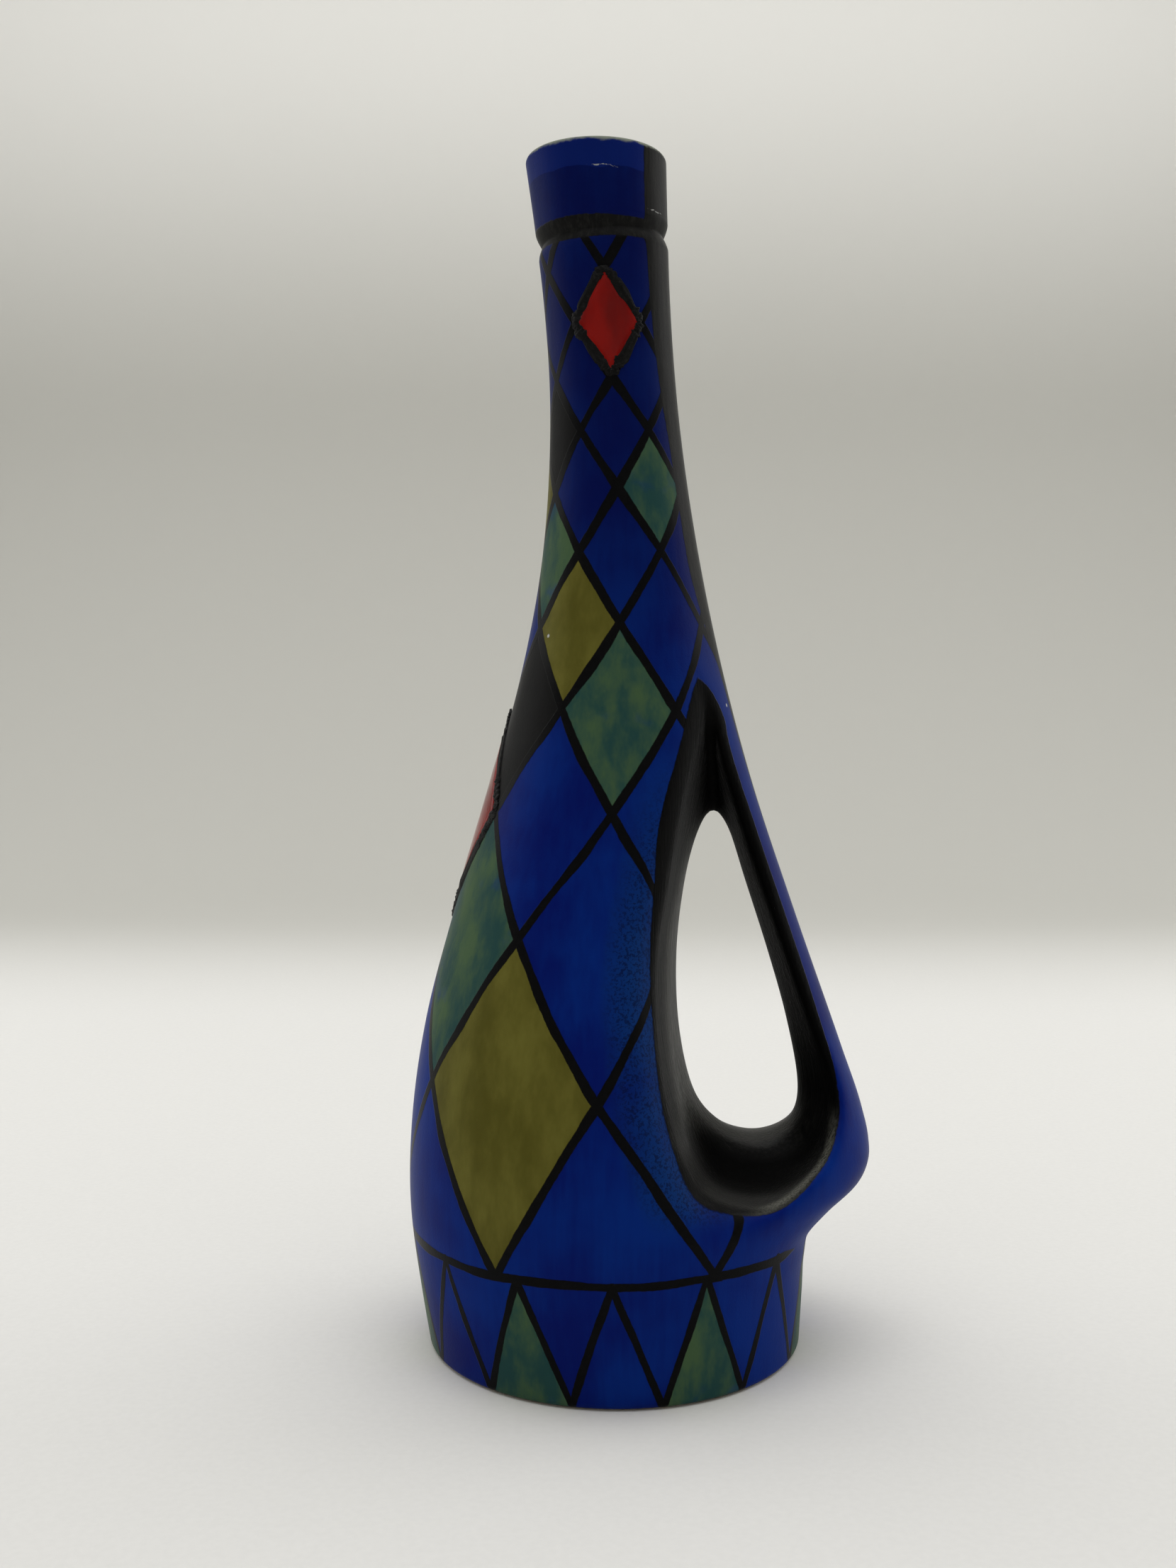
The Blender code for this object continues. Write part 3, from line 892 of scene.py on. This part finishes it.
# Heights over which painted shade darkens the neck
PAINTED_NECK_SHADE = (110.0, 250.0)
COLLAR_BAND = (292.6, 292.9)
GROOVE_BAND = (2.7, 2.4)
WORN_RIM = (298.6, 299.6)
SCRATCHES = ((292.8, -1.75, -1.2), (283.9, -0.85, -0.45))
# Where the walls' painted shade begins, by depth and by height, and where it fades up into a painted
# lighter top
WALL_DEPTH = (400.0, 900.0)
WALL_FOOT = (20.0, 350.0)
WALL_LIGHT_FADE = (450.0, 900.0)


def blue_ground(f, height, blotch, strokes):
    """Blue with painted shade darkening up the neck, scumbling with a painted sheen beside the finger
    hole, and paler at the rim.
    """
    blue = f.mixed((blotch * 0.8 + strokes * 0.2).between(0.36, 0.66), DEEP_BLUE, BRIGHT_BLUE)
    # Painted shade darkens the blue up the neck
    blue = f.mixed(height.between(*PAINTED_NECK_SHADE) * 0.65, blue, NECK_SHADE_BLUE)
    scumble_and_sheen = f.measure("scumble_and_sheen")
    # Scumbled paint with a painted sheen beside the finger hole, and its dark speckle
    sheen_speckle = f.noise(1.3, 3.0, 0.7).between(0.46, 0.6) * scumble_and_sheen.between(0.0, 0.7)
    blue = f.mixed(scumble_and_sheen * blotch.between(0.2, 0.55) * 0.9, blue, SCUMBLED_SHEEN_BLUE)
    blue = f.mixed(sheen_speckle * 0.65, blue, SHEEN_SPECKLE_BLUE)
    collar = (height + (f.noise(0.12, 2.0) - 0.5) * 2.5).between(*COLLAR_BAND)
    return f.mixed(collar * 0.6, blue, COLLAR_BLUE)


def washed_fills(f, colour):
    """Green, olive and black lozenges over a colour."""
    wash = f.noise((0.11, 0.11, 0.05), 4.0, 0.62)
    green = f.mixed(wash.between(0.36, 0.66), DEEP_GREEN, MOSS_GREEN)
    green = f.mixed(f.noise(0.07, 3.0, 0.6).between(0.56, 0.72) * 0.4, green, BRIGHT_BLUE)
    olive = f.mixed(wash.between(0.25, 0.85), DEEP_OLIVE, PALE_OLIVE)
    for name, fill in (("green", green), ("olive", olive), ("black", SATIN_BLACK)):
        colour = f.mixed(f.measure(name).between(*FILL_EDGE), colour, fill)
    return colour


def brush_lines(f, angle, rise, height, wander, edge):
    """Where the lines of the lattice, the ring and the dog teeth lie, from 0 to 1."""
    turn = (angle - LATTICE_ANGLE) * LATTICE_TURNS
    climb = rise * LATTICE_CLIMB
    to_millimetres = f.measure("radius") * (1.0 / math.hypot(LATTICE_TURNS, LATTICE_CLIMB))
    one_way = ((turn + climb).wrapped(math.tau) * to_millimetres + wander * 1.8).size()
    other_way = ((turn - climb).wrapped(math.tau) * to_millimetres - wander * 1.8).size()
    above_ring = height - RING_HEIGHT
    lattice = one_way.least(other_way).most(above_ring * -1.0).most(height - NECK_TOP)
    ring = (above_ring + wander * 1.6).size()
    tooth_turn = (angle + math.pi) * (TEETH / math.tau) + 0.5
    tooth = tooth_turn.wrapped(1.0).size() * (2.0 * RING_HEIGHT)
    teeth = ((above_ring + tooth) * TOOTH_LEAN + wander * 1.2).size().most(above_ring)
    width = (f.noise(0.09, 1.0) - 0.5) * 0.9 + edge * 0.3 + LINE_HALF_WIDTH
    drawn = f.measure("drawn")
    line = (lattice.least(ring).least(teeth) - width * drawn).between(EDGE_SOFTNESS, -EDGE_SOFTNESS)
    return line * drawn.between(0.05, 0.3)


def hollow_black(f, brushed, painted_shade, sheen):
    """Black of the finger hole, with painted shade on the arm, in the valley and by the outer edge,
    painted sheen in pale streaks by the waist and a painted highlight on the lower right edge.
    """
    fine = f.noise((1.9, 1.9, 0.045), 3.0, 0.7)
    black = f.mixed(brushed.between(0.35, 0.8), BLACK_PAINT, GREY_BLACK)
    # Painted shade on the arm, in the valley and beside the outer edge
    black = f.mixed(painted_shade, black, SHADE_BLACK)
    # Painted sheen in pale streaks by the waist
    black = f.mixed(sheen * fine.between(0.42, 0.66), black, SHEEN_STREAK_GREY)
    # Painted highlight along the lower right edge
    return f.mixed(f.measure("lip_shade_and_highlight") * fine.between(0.3, 0.6), black, LIP_HIGHLIGHT_GREY)


def painted_glaze():
    """Matte blue glaze with black brush lines, washed fills and the black hollow of the handle, with
    painted shade, sheen and highlight.
    """
    f = Finish("painted_glaze", 0.5, 0.045)
    f.set("Sheen Weight", 0.13)
    f.set("Sheen Roughness", 0.25)
    angle, rise = f.paint_place()
    height = f.parts(f.stretched((1.0, 1.0, 1.0)))[2]
    painted_shade = f.measure("painted_shade")
    sheen = f.measure("sheen")
    blotch = f.noise(0.035, 3.0)
    wander = f.noise(0.045, 1.0) - 0.5
    edge = f.noise(0.7, 2.0) - 0.5
    grain = f.noise(1.6, 3.0, 0.65)
    strokes = f.noise((0.55, 0.55, 0.045), 3.0, 0.6)
    brushed = f.noise((1.1, 1.1, 0.07), 3.0, 0.7)

    line = brush_lines(f, angle, rise, height, wander, edge)
    stripe = (f.measure("stripe") + edge * 0.5).between(-EDGE_SOFTNESS, EDGE_SOFTNESS)
    groove = ((height - GROOVE_MIDDLE).size() + edge * 0.6 + wander * 1.6).between(*GROOVE_BAND)
    hollow = (f.measure("funnel") + edge * 0.3 + wander * 0.4).between(-EDGE_SOFTNESS, EDGE_SOFTNESS)
    dark = line.most(stripe).most(groove).most(hollow)
    satin = f.mixed(brushed.between(0.4, 0.75), SATIN_BLACK, GREY_BLACK)

    colour = washed_fills(f, blue_ground(f, height, blotch, strokes))
    colour = f.mixed(line, colour, BLACK_PAINT)
    colour = f.mixed(stripe.most(groove), colour, satin)
    colour = f.mixed(hollow, colour, hollow_black(f, brushed, painted_shade, sheen))

    worn = (height + (f.noise(0.35, 3.0) - 0.5) * 2.2).between(*WORN_RIM)
    pits = f.spots(0.07, 0.8).between(0.04, 0.024) * dark.between(1.0, 0.0)
    for level, start, end in SCRATCHES:
        pits = pits.most(f.scratch(angle, height, level, start, end) * 0.7)
    colour = f.mixed(worn, colour, WORN_EDGE)
    colour = f.mixed(pits, colour, PIT_WHITE)

    roughness = f.blended(dark, (blotch - 0.5) * 0.2 + 0.5, 0.42)
    roughness = f.blended(hollow, roughness, brushed * 0.3 + painted_shade * 0.3 + sheen * 0.03 + 0.26)
    f.set("Coat Weight", hollow * (f.measure("shelf") * 0.15 * (painted_shade * -1.0 + 1.0)))
    f.set("Coat Roughness", 0.3)
    relief = grain * 0.045 + strokes * 0.03 + dark * 0.05 + hollow * (brushed * 0.2) - pits * 0.15
    return f.finish(colour, roughness, relief)


def tin_glaze():
    """Pale glaze of the inside."""
    f = Finish("tin_glaze", 0.3, 0.5)
    run = f.noise((0.08, 0.08, 0.02), 3.0)
    return f.finish(f.mixed(run.between(0.3, 0.7), TIN_WHITE, TIN_SHADE), run * 0.2 + 0.2, run * 0.2)


def bare_clay():
    """Fired clay of the underside."""
    f = Finish("bare_clay", 0.85, 0.3)
    grit = f.noise(0.8, 4.0, 0.7)
    specks = f.spots(0.35).between(0.16, 0.06)
    colour = f.mixed(grit.between(0.3, 0.7), FIRED_CLAY, DARK_CLAY)
    colour = f.mixed(specks * 0.6, colour, DARK_CLAY)
    return f.finish(colour, grit * 0.2 + 0.72, grit * 0.12 - specks * 0.08)


def red_enamel():
    """Thick glossy red enamel."""
    f = Finish("red_enamel", 0.12, 0.14)
    depth = f.noise((0.16, 0.16, 0.07), 3.0)
    colour = f.mixed(depth.between(0.35, 0.7), DEEP_RED, BRIGHT_RED)
    return f.finish(colour, depth * 0.08 + 0.08, depth * 0.12)


def crawled_glaze():
    """Thick black glaze that has crawled into wrinkles."""
    f = Finish("crawled_glaze", 0.5, 0.09)
    wrinkle = f.noise(0.9, 4.0, 0.7)
    colour = f.mixed(wrinkle.between(0.45, 0.75), CRAWLED_BLACK, CRAWLED_GREY)
    return f.finish(colour, wrinkle * 0.3 + 0.3, wrinkle * 0.3)


def pale_sheet():
    """Paper of the studio floor and backdrop, with painted shade low on the walls and a painted lighter
    top.
    """
    f = Finish("pale_sheet", 0.9, 0.2)
    fibre = f.noise(0.6, 4.0)
    _, depth, height = f.parts(f.stretched((1.0, 1.0, 1.0)))
    floor = f.mixed(fibre.between(0.2, 0.8), FLOOR_PALE, FLOOR_SHADE)
    # Painted shade low on the walls, fading up into a painted lighter top
    wall = f.mixed(height.between(*WALL_LIGHT_FADE), SHADED_WALL_GREY, LIT_WALL_TOP)
    shaded_wall = depth.between(*WALL_DEPTH).most(height.between(*WALL_FOOT))
    return f.finish(f.mixed(shaded_wall, floor, wall), fibre * 0.1 + 0.85)


# Raised enamel and its borders, in millimetres. The waves are (height, scale) pairs of smooth noise

ENAMEL_STEPS = 48
ENAMEL_THICKNESS = 0.55
ENAMEL_BEAD = 1.3
ENAMEL_INSET = 0.5
ENAMEL_WAVES = ((0.12, 0.18),)
BURIED = 0.25
BORDER_HALF_WIDTH = 1.5
BORDER_HEIGHT = 0.55
BORDER_STEP = 0.2
BORDER_ARC = 13
BORDER_SIDES = 4.6
BORDER_SQUARENESS = 0.22
BORDER_WIDTH_WAVES = ((0.35, 0.4), (0.45, 1.1), (0.25, 2.3))
BORDER_HEIGHT_WAVES = ((0.5, 0.5),)
BORDER_CRAWL_WAVES = ((0.6, 0.9), (0.6, 2.1))
TRIM_SHARP = math.radians(60.0)


def lozenge_places(row, degrees, p, q):
    """Places on the outside for positions across a lozenge, each from -1 to 1 between its sides."""
    turns = LATTICE_TURNS * (math.radians(degrees) - LATTICE_ANGLE) / math.pi
    angle = LATTICE_ANGLE + math.pi * (turns + (p + q) / 2.0) / LATTICE_TURNS
    climb = math.pi * (row + (p - q) / 2.0)
    z = np.interp(climb / LATTICE_CLIMB, path_rise, path_heights)
    reach = outside_reach(np.arctan2(np.sin(angle), np.cos(angle)), z)
    return np.stack((axis_at(z) + reach * np.cos(angle), reach * np.sin(angle), z), axis=-1)


def waved(places, waves):
    """The sum of waves of smooth noise at places in millimetres."""
    total = 0.0
    for height, scale in waves:
        values = [noise.noise(Vector(place) * scale) for place in places.reshape(-1, 3)]
        total = total + height * np.array(values).reshape(places.shape[:-1])
    return total


def unit_rows(vectors):
    """Vectors scaled to a length of 1."""
    return vectors / np.linalg.norm(vectors, axis=-1, keepdims=True)


def from_axis(places):
    """Directions out to places from the body's axis at their heights."""
    z = places[..., 2]
    return unit_rows(places - np.stack((axis_at(z), 0.0 * z, z), axis=-1))


def lozenge_side(row):
    """Distance between opposite sides of a lozenge, in millimetres."""
    z = np.interp(math.pi * row / LATTICE_CLIMB, path_rise, path_heights)
    return math.tau * float(smooth_curve(HALF_DEPTH, z)) / math.hypot(LATTICE_TURNS, LATTICE_CLIMB)


def enamel_mesh(name, row, degrees):
    """A thick pad of enamel that fills a lozenge, with a rounded bead along its edge."""
    half = lozenge_side(row) / 2.0
    across = np.linspace(-1.0, 1.0, ENAMEL_STEPS)
    p, q = np.meshgrid(across, across, indexing="ij")
    spread = 1.0 - ENAMEL_INSET / half
    places = lozenge_places(row, degrees, p * spread, q * spread)
    square = unit_rows(np.cross(np.gradient(places, axis=0), np.gradient(places, axis=1)))
    square *= np.sign((square * from_axis(places)).sum(-1, keepdims=True))
    from_edge = (1.0 - np.maximum(np.abs(p), np.abs(q))) * half
    bead = 1.0 - np.clip(from_edge / ENAMEL_BEAD, 0.0, 1.0)
    thickness = ENAMEL_THICKNESS * (np.sqrt(1.0 - bead * bead) + waved(places, ENAMEL_WAVES))
    top = places + square * thickness[..., None]
    bottom = places - square * BURIED
    number = numbered(places)
    corners = (number[:-1, :-1], number[1:, :-1], number[1:, 1:], number[:-1, 1:])
    quads = np.stack(corners, axis=-1).reshape(-1, 4)
    under = quads[:, ::-1] + number.size
    rim = np.concatenate((number[:-1, 0], number[-1, :-1], number[:0:-1, -1], number[0, :0:-1]))
    following = np.roll(rim, -1)
    sides = np.stack((following, rim, rim + number.size, following + number.size), axis=-1)
    points = np.concatenate((top.reshape(-1, 3), bottom.reshape(-1, 3)))
    return outward_faces(new_mesh(name, points, np.concatenate((quads, under, sides)).tolist()))


def border_mesh(name, row, degrees):
    """A ridge of crawled glaze round a lozenge."""
    steps = int(BORDER_SIDES * lozenge_side(row) / BORDER_STEP)
    turn = math.tau * np.arange(steps) / steps
    sides = [np.sign(w) * np.abs(w) ** BORDER_SQUARENESS for w in (np.cos(turn), np.sin(turn))]
    middle = lozenge_places(row, degrees, *sides)
    ahead = unit_rows(np.roll(middle, -1, 0) - np.roll(middle, 1, 0))
    square = from_axis(middle)
    beside = unit_rows(np.cross(square, ahead))
    width = BORDER_HALF_WIDTH * (1.0 + waved(middle, BORDER_WIDTH_WAVES))
    tall = BORDER_HEIGHT * (1.0 + waved(middle, BORDER_HEIGHT_WAVES))
    rows = []
    for bend in np.linspace(0.0, math.pi, BORDER_ARC):
        place = middle + beside * (width * math.cos(bend))[:, None]
        crawl = 1.0 + waved(place, BORDER_CRAWL_WAVES)
        rows.append(place + square * (tall * crawl * math.sin(bend))[:, None])
    for edge in (-1.0, 1.0):
        rows.append(middle + beside * (edge * width)[:, None] - square * BURIED)
    number = numbered(rows)
    quads = quads_between(number, np.roll(number, -1, 0))
    return outward_faces(new_mesh(name, np.concatenate(rows), quads.tolist()))


def outward_faces(mesh):
    """A mesh with its faces turned outward and its blunt edges smooth."""
    bm = bmesh.new()
    bm.from_mesh(mesh)
    bmesh.ops.recalc_face_normals(bm, faces=bm.faces)
    bm.to_mesh(mesh)
    bm.free()
    mesh.shade_smooth()
    mesh.set_sharp_from_angle(angle=TRIM_SHARP)
    return mesh


def add_object(name, data):
    thing = bpy.data.objects.new(name, data)
    bpy.context.scene.collection.objects.link(thing)
    return thing


def add_piece(name, mesh, slot, *materials):
    """A visible piece of the jug."""
    for material in materials:
        mesh.materials.append(material)
    piece = add_object(name, mesh)
    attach(piece, "root")
    return piece


def add_member(node, mesh, slot, materials, which):
    """A finished member in place of its plain solid."""
    dress(mesh)
    piece = add_piece(node + "_finished", mesh, slot, *materials)
    mesh.polygons.foreach_set("material_index", which.astype(np.int32))
    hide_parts(node)


def on_the_inside(mesh):
    """Which faces line the hollow."""
    centres = read(mesh.polygons, "center", 3) / MM
    return hollow_field(*centres.T) < LINING_REACH


SLOTS = {"handle_arm": "satin_black_glaze", "handle_elbow": "satin_black_glaze"}

skin = Skin()
glaze = painted_glaze()
lining = tin_glaze()
clay = bare_clay()

walls = {}
seamed = cut_along_seams(*skin.surface())
for node, mask in member_masks(face_centres(seamed)).items():
    walls[node] = closed_member(node, seamed, mask)
seamed.free()
below_groove = GROOVE_LEVELS[GROOVE_LEVELS < GROOVE_HEIGHT]
above_groove = GROOVE_LEVELS[GROOVE_LEVELS > GROOVE_HEIGHT]
rim_levels = [rounding_heights(HEIGHT, radius) for radius in (RIM_ROUNDING, LIP_ROUNDING)]
walls["neck"] = wall_mesh("neck", NECK_SEAM, GROOVE_HEIGHT, below_groove)
walls["rim_collar"] = wall_mesh("rim_collar", GROOVE_HEIGHT, HEIGHT, above_groove, *rim_levels)
for node, mesh in walls.items():
    add_member(node, mesh, SLOTS.get(node, "matte_blue_glaze"), (glaze, lining), on_the_inside(mesh))
base = slab_mesh("base_slab")
underneath = read(base.polygons, "normal", 3)[:, 2] < FACING_DOWN
add_member("base_slab", base, "matte_blue_glaze", (glaze, clay), underneath)

enamel = red_enamel()
crawled = crawled_glaze()
for place, row, degrees in ENAMEL_CELLS:
    name = "enamel_" + place
    add_piece(name, enamel_mesh(name, row, degrees), "red_enamel", enamel)
    name = "enamel_border_" + place
    add_piece(name, border_mesh(name, row, degrees), "satin_black_glaze", crawled)


# Studio, in metres

SWEEP_STEPS = 96
SWEEP_ARC = 17
SWEEP_FLAT = (0.3, 0.6)
SWEEP_BACK = 1.25
SWEEP_FRONT = 2.2
SWEEP_SIDE = 2.2
SWEEP_ROUNDING = 0.5
SWEEP_SQUARENESS = 4.0
SWEEP_HEIGHT = 1.9
SWEEP_DROP = 0.0003
# Each panel's name, place, size and power
PANELS = (
    ("top_panel", (0.0, 0.1, 1.9), 2.5, 34.0),
    ("left_panel", (-1.1, 0.42, 0.55), 0.8, 2.6),
    ("right_panel", (1.1, 0.45, 0.55), 0.8, 3.0),
)
PANEL_TARGET = (0.0, 0.0, 0.14)
ROOM_GREY = (128, 128, 126)


def add_panel(name, place, size, power):
    """A square soft light that faces the jug."""
    light = bpy.data.lights.new(name, "AREA")
    light.energy = power
    light.size = size
    lamp = add_object(name, light)
    lamp.location = place
    lamp.rotation_euler = (Vector(PANEL_TARGET) - Vector(place)).to_track_quat("-Z", "Y").to_euler()


def add_sweep():
    """Floor that curves up all round into the walls of the studio."""
    turn = math.tau * np.arange(SWEEP_STEPS) / SWEEP_STEPS
    back = np.where(np.sin(turn) > 0.0, SWEEP_BACK, SWEEP_FRONT)
    across = (np.abs(np.cos(turn)) / SWEEP_SIDE) ** SWEEP_SQUARENESS
    along = (np.abs(np.sin(turn)) / back) ** SWEEP_SQUARENESS
    reach = (across + along) ** (-1.0 / SWEEP_SQUARENESS)
    profile = [(distance, 0.0) for distance in SWEEP_FLAT]
    for bend in np.linspace(0.0, math.pi / 2.0, SWEEP_ARC):
        distance = reach - SWEEP_ROUNDING * (1.0 - math.sin(bend))
        profile.append((distance, SWEEP_ROUNDING * (1.0 - math.cos(bend))))
    profile.append((reach, SWEEP_HEIGHT))
    rings = []
    for distance, height in profile:
        level = np.full(SWEEP_STEPS, height - SWEEP_DROP)
        rings.append(np.stack((distance * np.cos(turn), distance * np.sin(turn), level), axis=1))
    number = numbered(rings)
    quads = quads_between(number[1:], number[:-1])
    mesh = bpy.data.meshes.new("sweep")
    mesh.from_pydata(np.concatenate(rings), [], [number[0].tolist()] + quads.tolist())
    mesh.shade_smooth()
    mesh.materials.append(pale_sheet())
    add_object("sweep", mesh)


def add_camera():
    """The camera of the photograph."""
    camera = bpy.data.cameras.new("camera")
    camera.sensor_fit = "VERTICAL"
    camera.sensor_height = SENSOR_HEIGHT
    camera.lens = FOCAL_PIXELS / PICTURE_HEIGHT * SENSOR_HEIGHT
    holder = add_object("camera", camera)
    holder.location = Vector(CAMERA_PLACE) * MM
    holder.rotation_euler = (math.pi / 2.0 - CAMERA_PITCH, 0.0, 0.0)
    bpy.context.scene.camera = holder


add_sweep()
add_camera()
for name, place, size, power in PANELS:
    add_panel(name, place, size, power)
world = bpy.data.worlds.new("studio")
world.use_nodes = True
world.node_tree.nodes["Background"].inputs["Color"].default_value = linear(ROOM_GREY)
bpy.context.scene.world = world
bpy.context.scene.view_settings.view_transform = "Standard"
